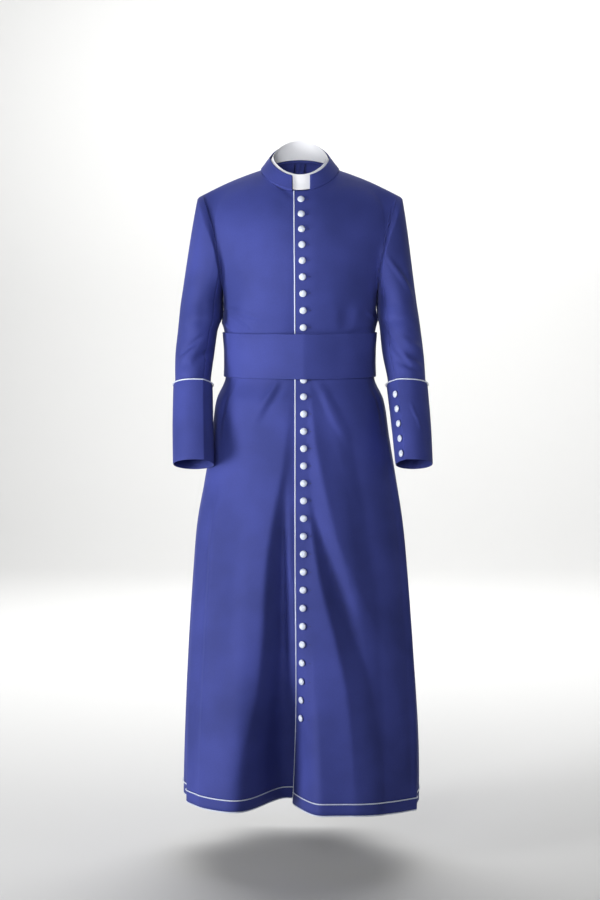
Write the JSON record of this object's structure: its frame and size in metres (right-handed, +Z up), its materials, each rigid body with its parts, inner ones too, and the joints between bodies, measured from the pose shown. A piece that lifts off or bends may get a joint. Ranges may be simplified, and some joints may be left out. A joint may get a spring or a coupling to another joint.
{
  "type": "cassock",
  "caption": "Worn cassock kept as a hollow form: an ankle-length coat buttoned down the front, with a stand collar, deep buttoned cuffs, white piping and a cloth cincture round the waist.",
  "frame": {"origin": "between the wearer's shoulders, level with the sides of the neck opening, where the garment hangs", "axes": "+Z up, -Y out of the buttoned front, +X to the wearer's left"},
  "size_m": [0.5641, 0.4484, 1.4439],
  "materials": {
    "blue_wool": "soft twill wool, blue",
    "white_satin": "white satin over cord and button forms",
    "white_linen": "starched white linen"
  },
  "bodies": {
    "root": {"back_left": "blue_wool", "back_right": "blue_wool", "cincture": "blue_wool", "clerical_collar": "white_linen", "collar": "blue_wool", "cuff_button_left_1": "white_satin", "cuff_button_left_2": "white_satin", "cuff_button_left_3": "white_satin", "cuff_button_left_4": "white_satin", "cuff_button_left_5": "white_satin", "cuff_button_right_1": "white_satin", "cuff_button_right_2": "white_satin", "cuff_button_right_3": "white_satin", "cuff_button_right_4": "white_satin", "cuff_button_right_5": "white_satin", "cuff_left": "blue_wool", "cuff_piping_left": "white_satin", "cuff_piping_right": "white_satin", "cuff_right": "blue_wool", "front_button_01": "white_satin", "front_button_02": "white_satin", "front_button_03": "white_satin", "front_button_04": "white_satin", "front_button_05": "white_satin", "front_button_06": "white_satin", "front_button_07": "white_satin", "front_button_08": "white_satin", "front_button_09": "white_satin", "front_button_10": "white_satin", "front_button_11": "white_satin", "front_button_12": "white_satin", "front_button_13": "white_satin", "front_button_14": "white_satin", "front_button_15": "white_satin", "front_button_16": "white_satin", "front_button_17": "white_satin", "front_button_18": "white_satin", "front_button_19": "white_satin", "front_button_20": "white_satin", "front_button_21": "white_satin", "front_button_22": "white_satin", "front_button_23": "white_satin", "front_button_24": "white_satin", "front_button_25": "white_satin", "front_button_26": "white_satin", "front_button_27": "white_satin", "front_button_28": "white_satin", "front_button_29": "white_satin", "front_button_30": "white_satin", "front_button_31": "white_satin", "front_left": "blue_wool", "front_piping": "white_satin", "front_right": "blue_wool", "hem_edge_piping": "white_satin", "hem_line_piping": "white_satin", "under_sleeve_left": "blue_wool", "under_sleeve_right": "blue_wool", "upper_sleeve_left": "blue_wool", "upper_sleeve_right": "blue_wool"}
  },
  "joints": []
}
